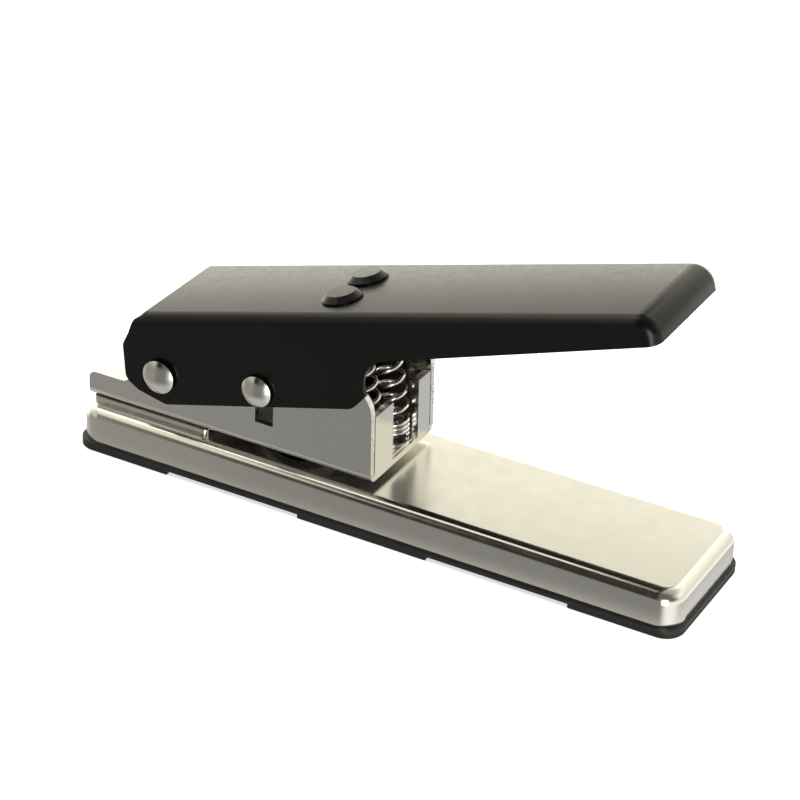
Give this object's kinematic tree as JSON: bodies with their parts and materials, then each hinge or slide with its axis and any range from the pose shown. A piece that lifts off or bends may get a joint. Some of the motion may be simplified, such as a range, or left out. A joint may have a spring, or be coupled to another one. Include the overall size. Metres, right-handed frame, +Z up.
{
  "type": "plectrum hole punch",
  "caption": "Desk punch that cuts plectrum-shaped blanks from plastic card: black channel lever on a folded frame, plated base tray with a die, coil return springs.",
  "frame": {"origin": "on the ground, under the centre of the base", "axes": "+X to the front, where the lever is pressed; +Y to the left; +Z up"},
  "size_m": [0.1686, 0.0404, 0.0793],
  "materials": {
    "polished_nickel": "polished nickel plate on pressed steel",
    "satin_nickel": "dull nickel plate on folded steel sheet",
    "black_enamel": "satin black stoving enamel",
    "rivet_nickel": "polished nickel plate",
    "spring_wire": "bright zinc-plated spring wire",
    "tool_steel": "blued and oiled tool steel",
    "zinc_screw": "zinc plate",
    "black_plastic": "moulded black plastic, fine grain",
    "black_rubber": "moulded black rubber"
  },
  "bodies": {
    "base": {"base_shell": "polished_nickel", "base_cover": "black_plastic", "foot_rear": "black_rubber", "foot_middle": "black_rubber", "foot_front": "black_rubber", "die_plate": "tool_steel", "die_rivets": "rivet_nickel", "cover_screws": "zinc_screw", "spacer_strip": "satin_nickel", "frame": "satin_nickel", "frame_rivets": "rivet_nickel", "pivot_rivet": "rivet_nickel", "spring_peg_left": "satin_nickel", "spring_peg_right": "satin_nickel", "spring_left": "spring_wire", "spring_right": "spring_wire"},
    "lever": {"lever": "black_enamel", "drive_rivet": "rivet_nickel", "spring_rivet_left": "black_enamel", "spring_rivet_right": "black_enamel"},
    "punch": {"punch_block": "tool_steel"}
  },
  "joints": [
    {"name": "lever_press", "type": "hinge", "parent": "base", "child": "lever", "pos_m": [-0.05969, 0, 0.02685], "axis": [0, 1, 0], "range_deg": [0, 16], "stiffness_Nm_per_rad": 2, "springref_deg": -20.05, "deforming": ["spring_left", "spring_right"]},
    {"name": "punch_slide", "type": "slide", "parent": "base", "child": "punch", "axis": [0, 0, -1], "range_m": [0, 0.00805]}
  ],
  "couplings": [
    {"joint": "punch_slide", "follows": "lever_press", "m_per_rad": 0.028648}
  ]
}
